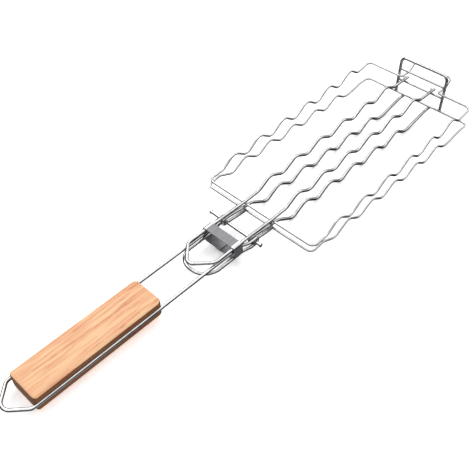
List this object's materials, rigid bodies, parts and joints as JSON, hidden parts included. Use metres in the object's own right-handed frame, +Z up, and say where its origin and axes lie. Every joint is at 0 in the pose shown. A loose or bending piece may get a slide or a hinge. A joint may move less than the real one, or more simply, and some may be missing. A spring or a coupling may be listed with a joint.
{
  "type": "hinged grill basket",
  "caption": "Two hinged wavy wire grids that clamp food between them, with a folding wire handle, a wooden grip, a hanging loop and a sliding locking ring.",
  "frame": {"origin": "centre of the bounding box in X and Y, on the plane the lower grid rests on", "axes": "+X from the hanging loop towards the hinge end, +Z up out of the closed grids"},
  "size_m": [0.5504, 0.1296, 0.0554],
  "materials": {
    "wire": "bright plated steel wire",
    "sheet": "brushed along its length",
    "beech": "sanded bare wood"
  },
  "bodies": {
    "lower_grid": {"lower_near_bar": "wire", "lower_far_bar": "wire", "lower_side_left": "wire", "lower_side_right": "wire", "lower_inner_left": "wire", "lower_inner_right": "wire", "bail": "wire", "bail_rung_upper": "wire", "bail_rung_lower": "wire", "fold_pin": "wire"},
    "upper_grid": {"upper_near_bar": "wire", "upper_side_left": "wire", "upper_side_right": "wire", "upper_far_bar_left": "wire", "upper_far_bar_right": "wire", "hinge_tab": "wire", "upper_inner_left": "wire", "upper_inner_right": "wire", "hairpin": "wire"},
    "handle": {"handle_rod_left": "wire", "handle_rod_right": "wire", "round_loop": "wire", "hanging_loop": "wire", "grip": "beech"},
    "ring": {"locking_ring": "sheet"}
  },
  "joints": [
    {"name": "grid_hinge", "type": "hinge", "parent": "lower_grid", "child": "upper_grid", "pos_m": [0.25308, 0, 0.04006], "axis": [0, 1, 0], "range_deg": [0, 35]},
    {"name": "handle_fold", "type": "hinge", "parent": "lower_grid", "child": "handle", "pos_m": [-0.02842, 0, 0.01296], "axis": [0, -1, 0], "range_deg": [0, 118]},
    {"name": "ring_slide", "type": "slide", "parent": "handle", "child": "ring", "axis": [-0.9997, 0, -0.0244], "range_m": [0, 0.075]}
  ]
}
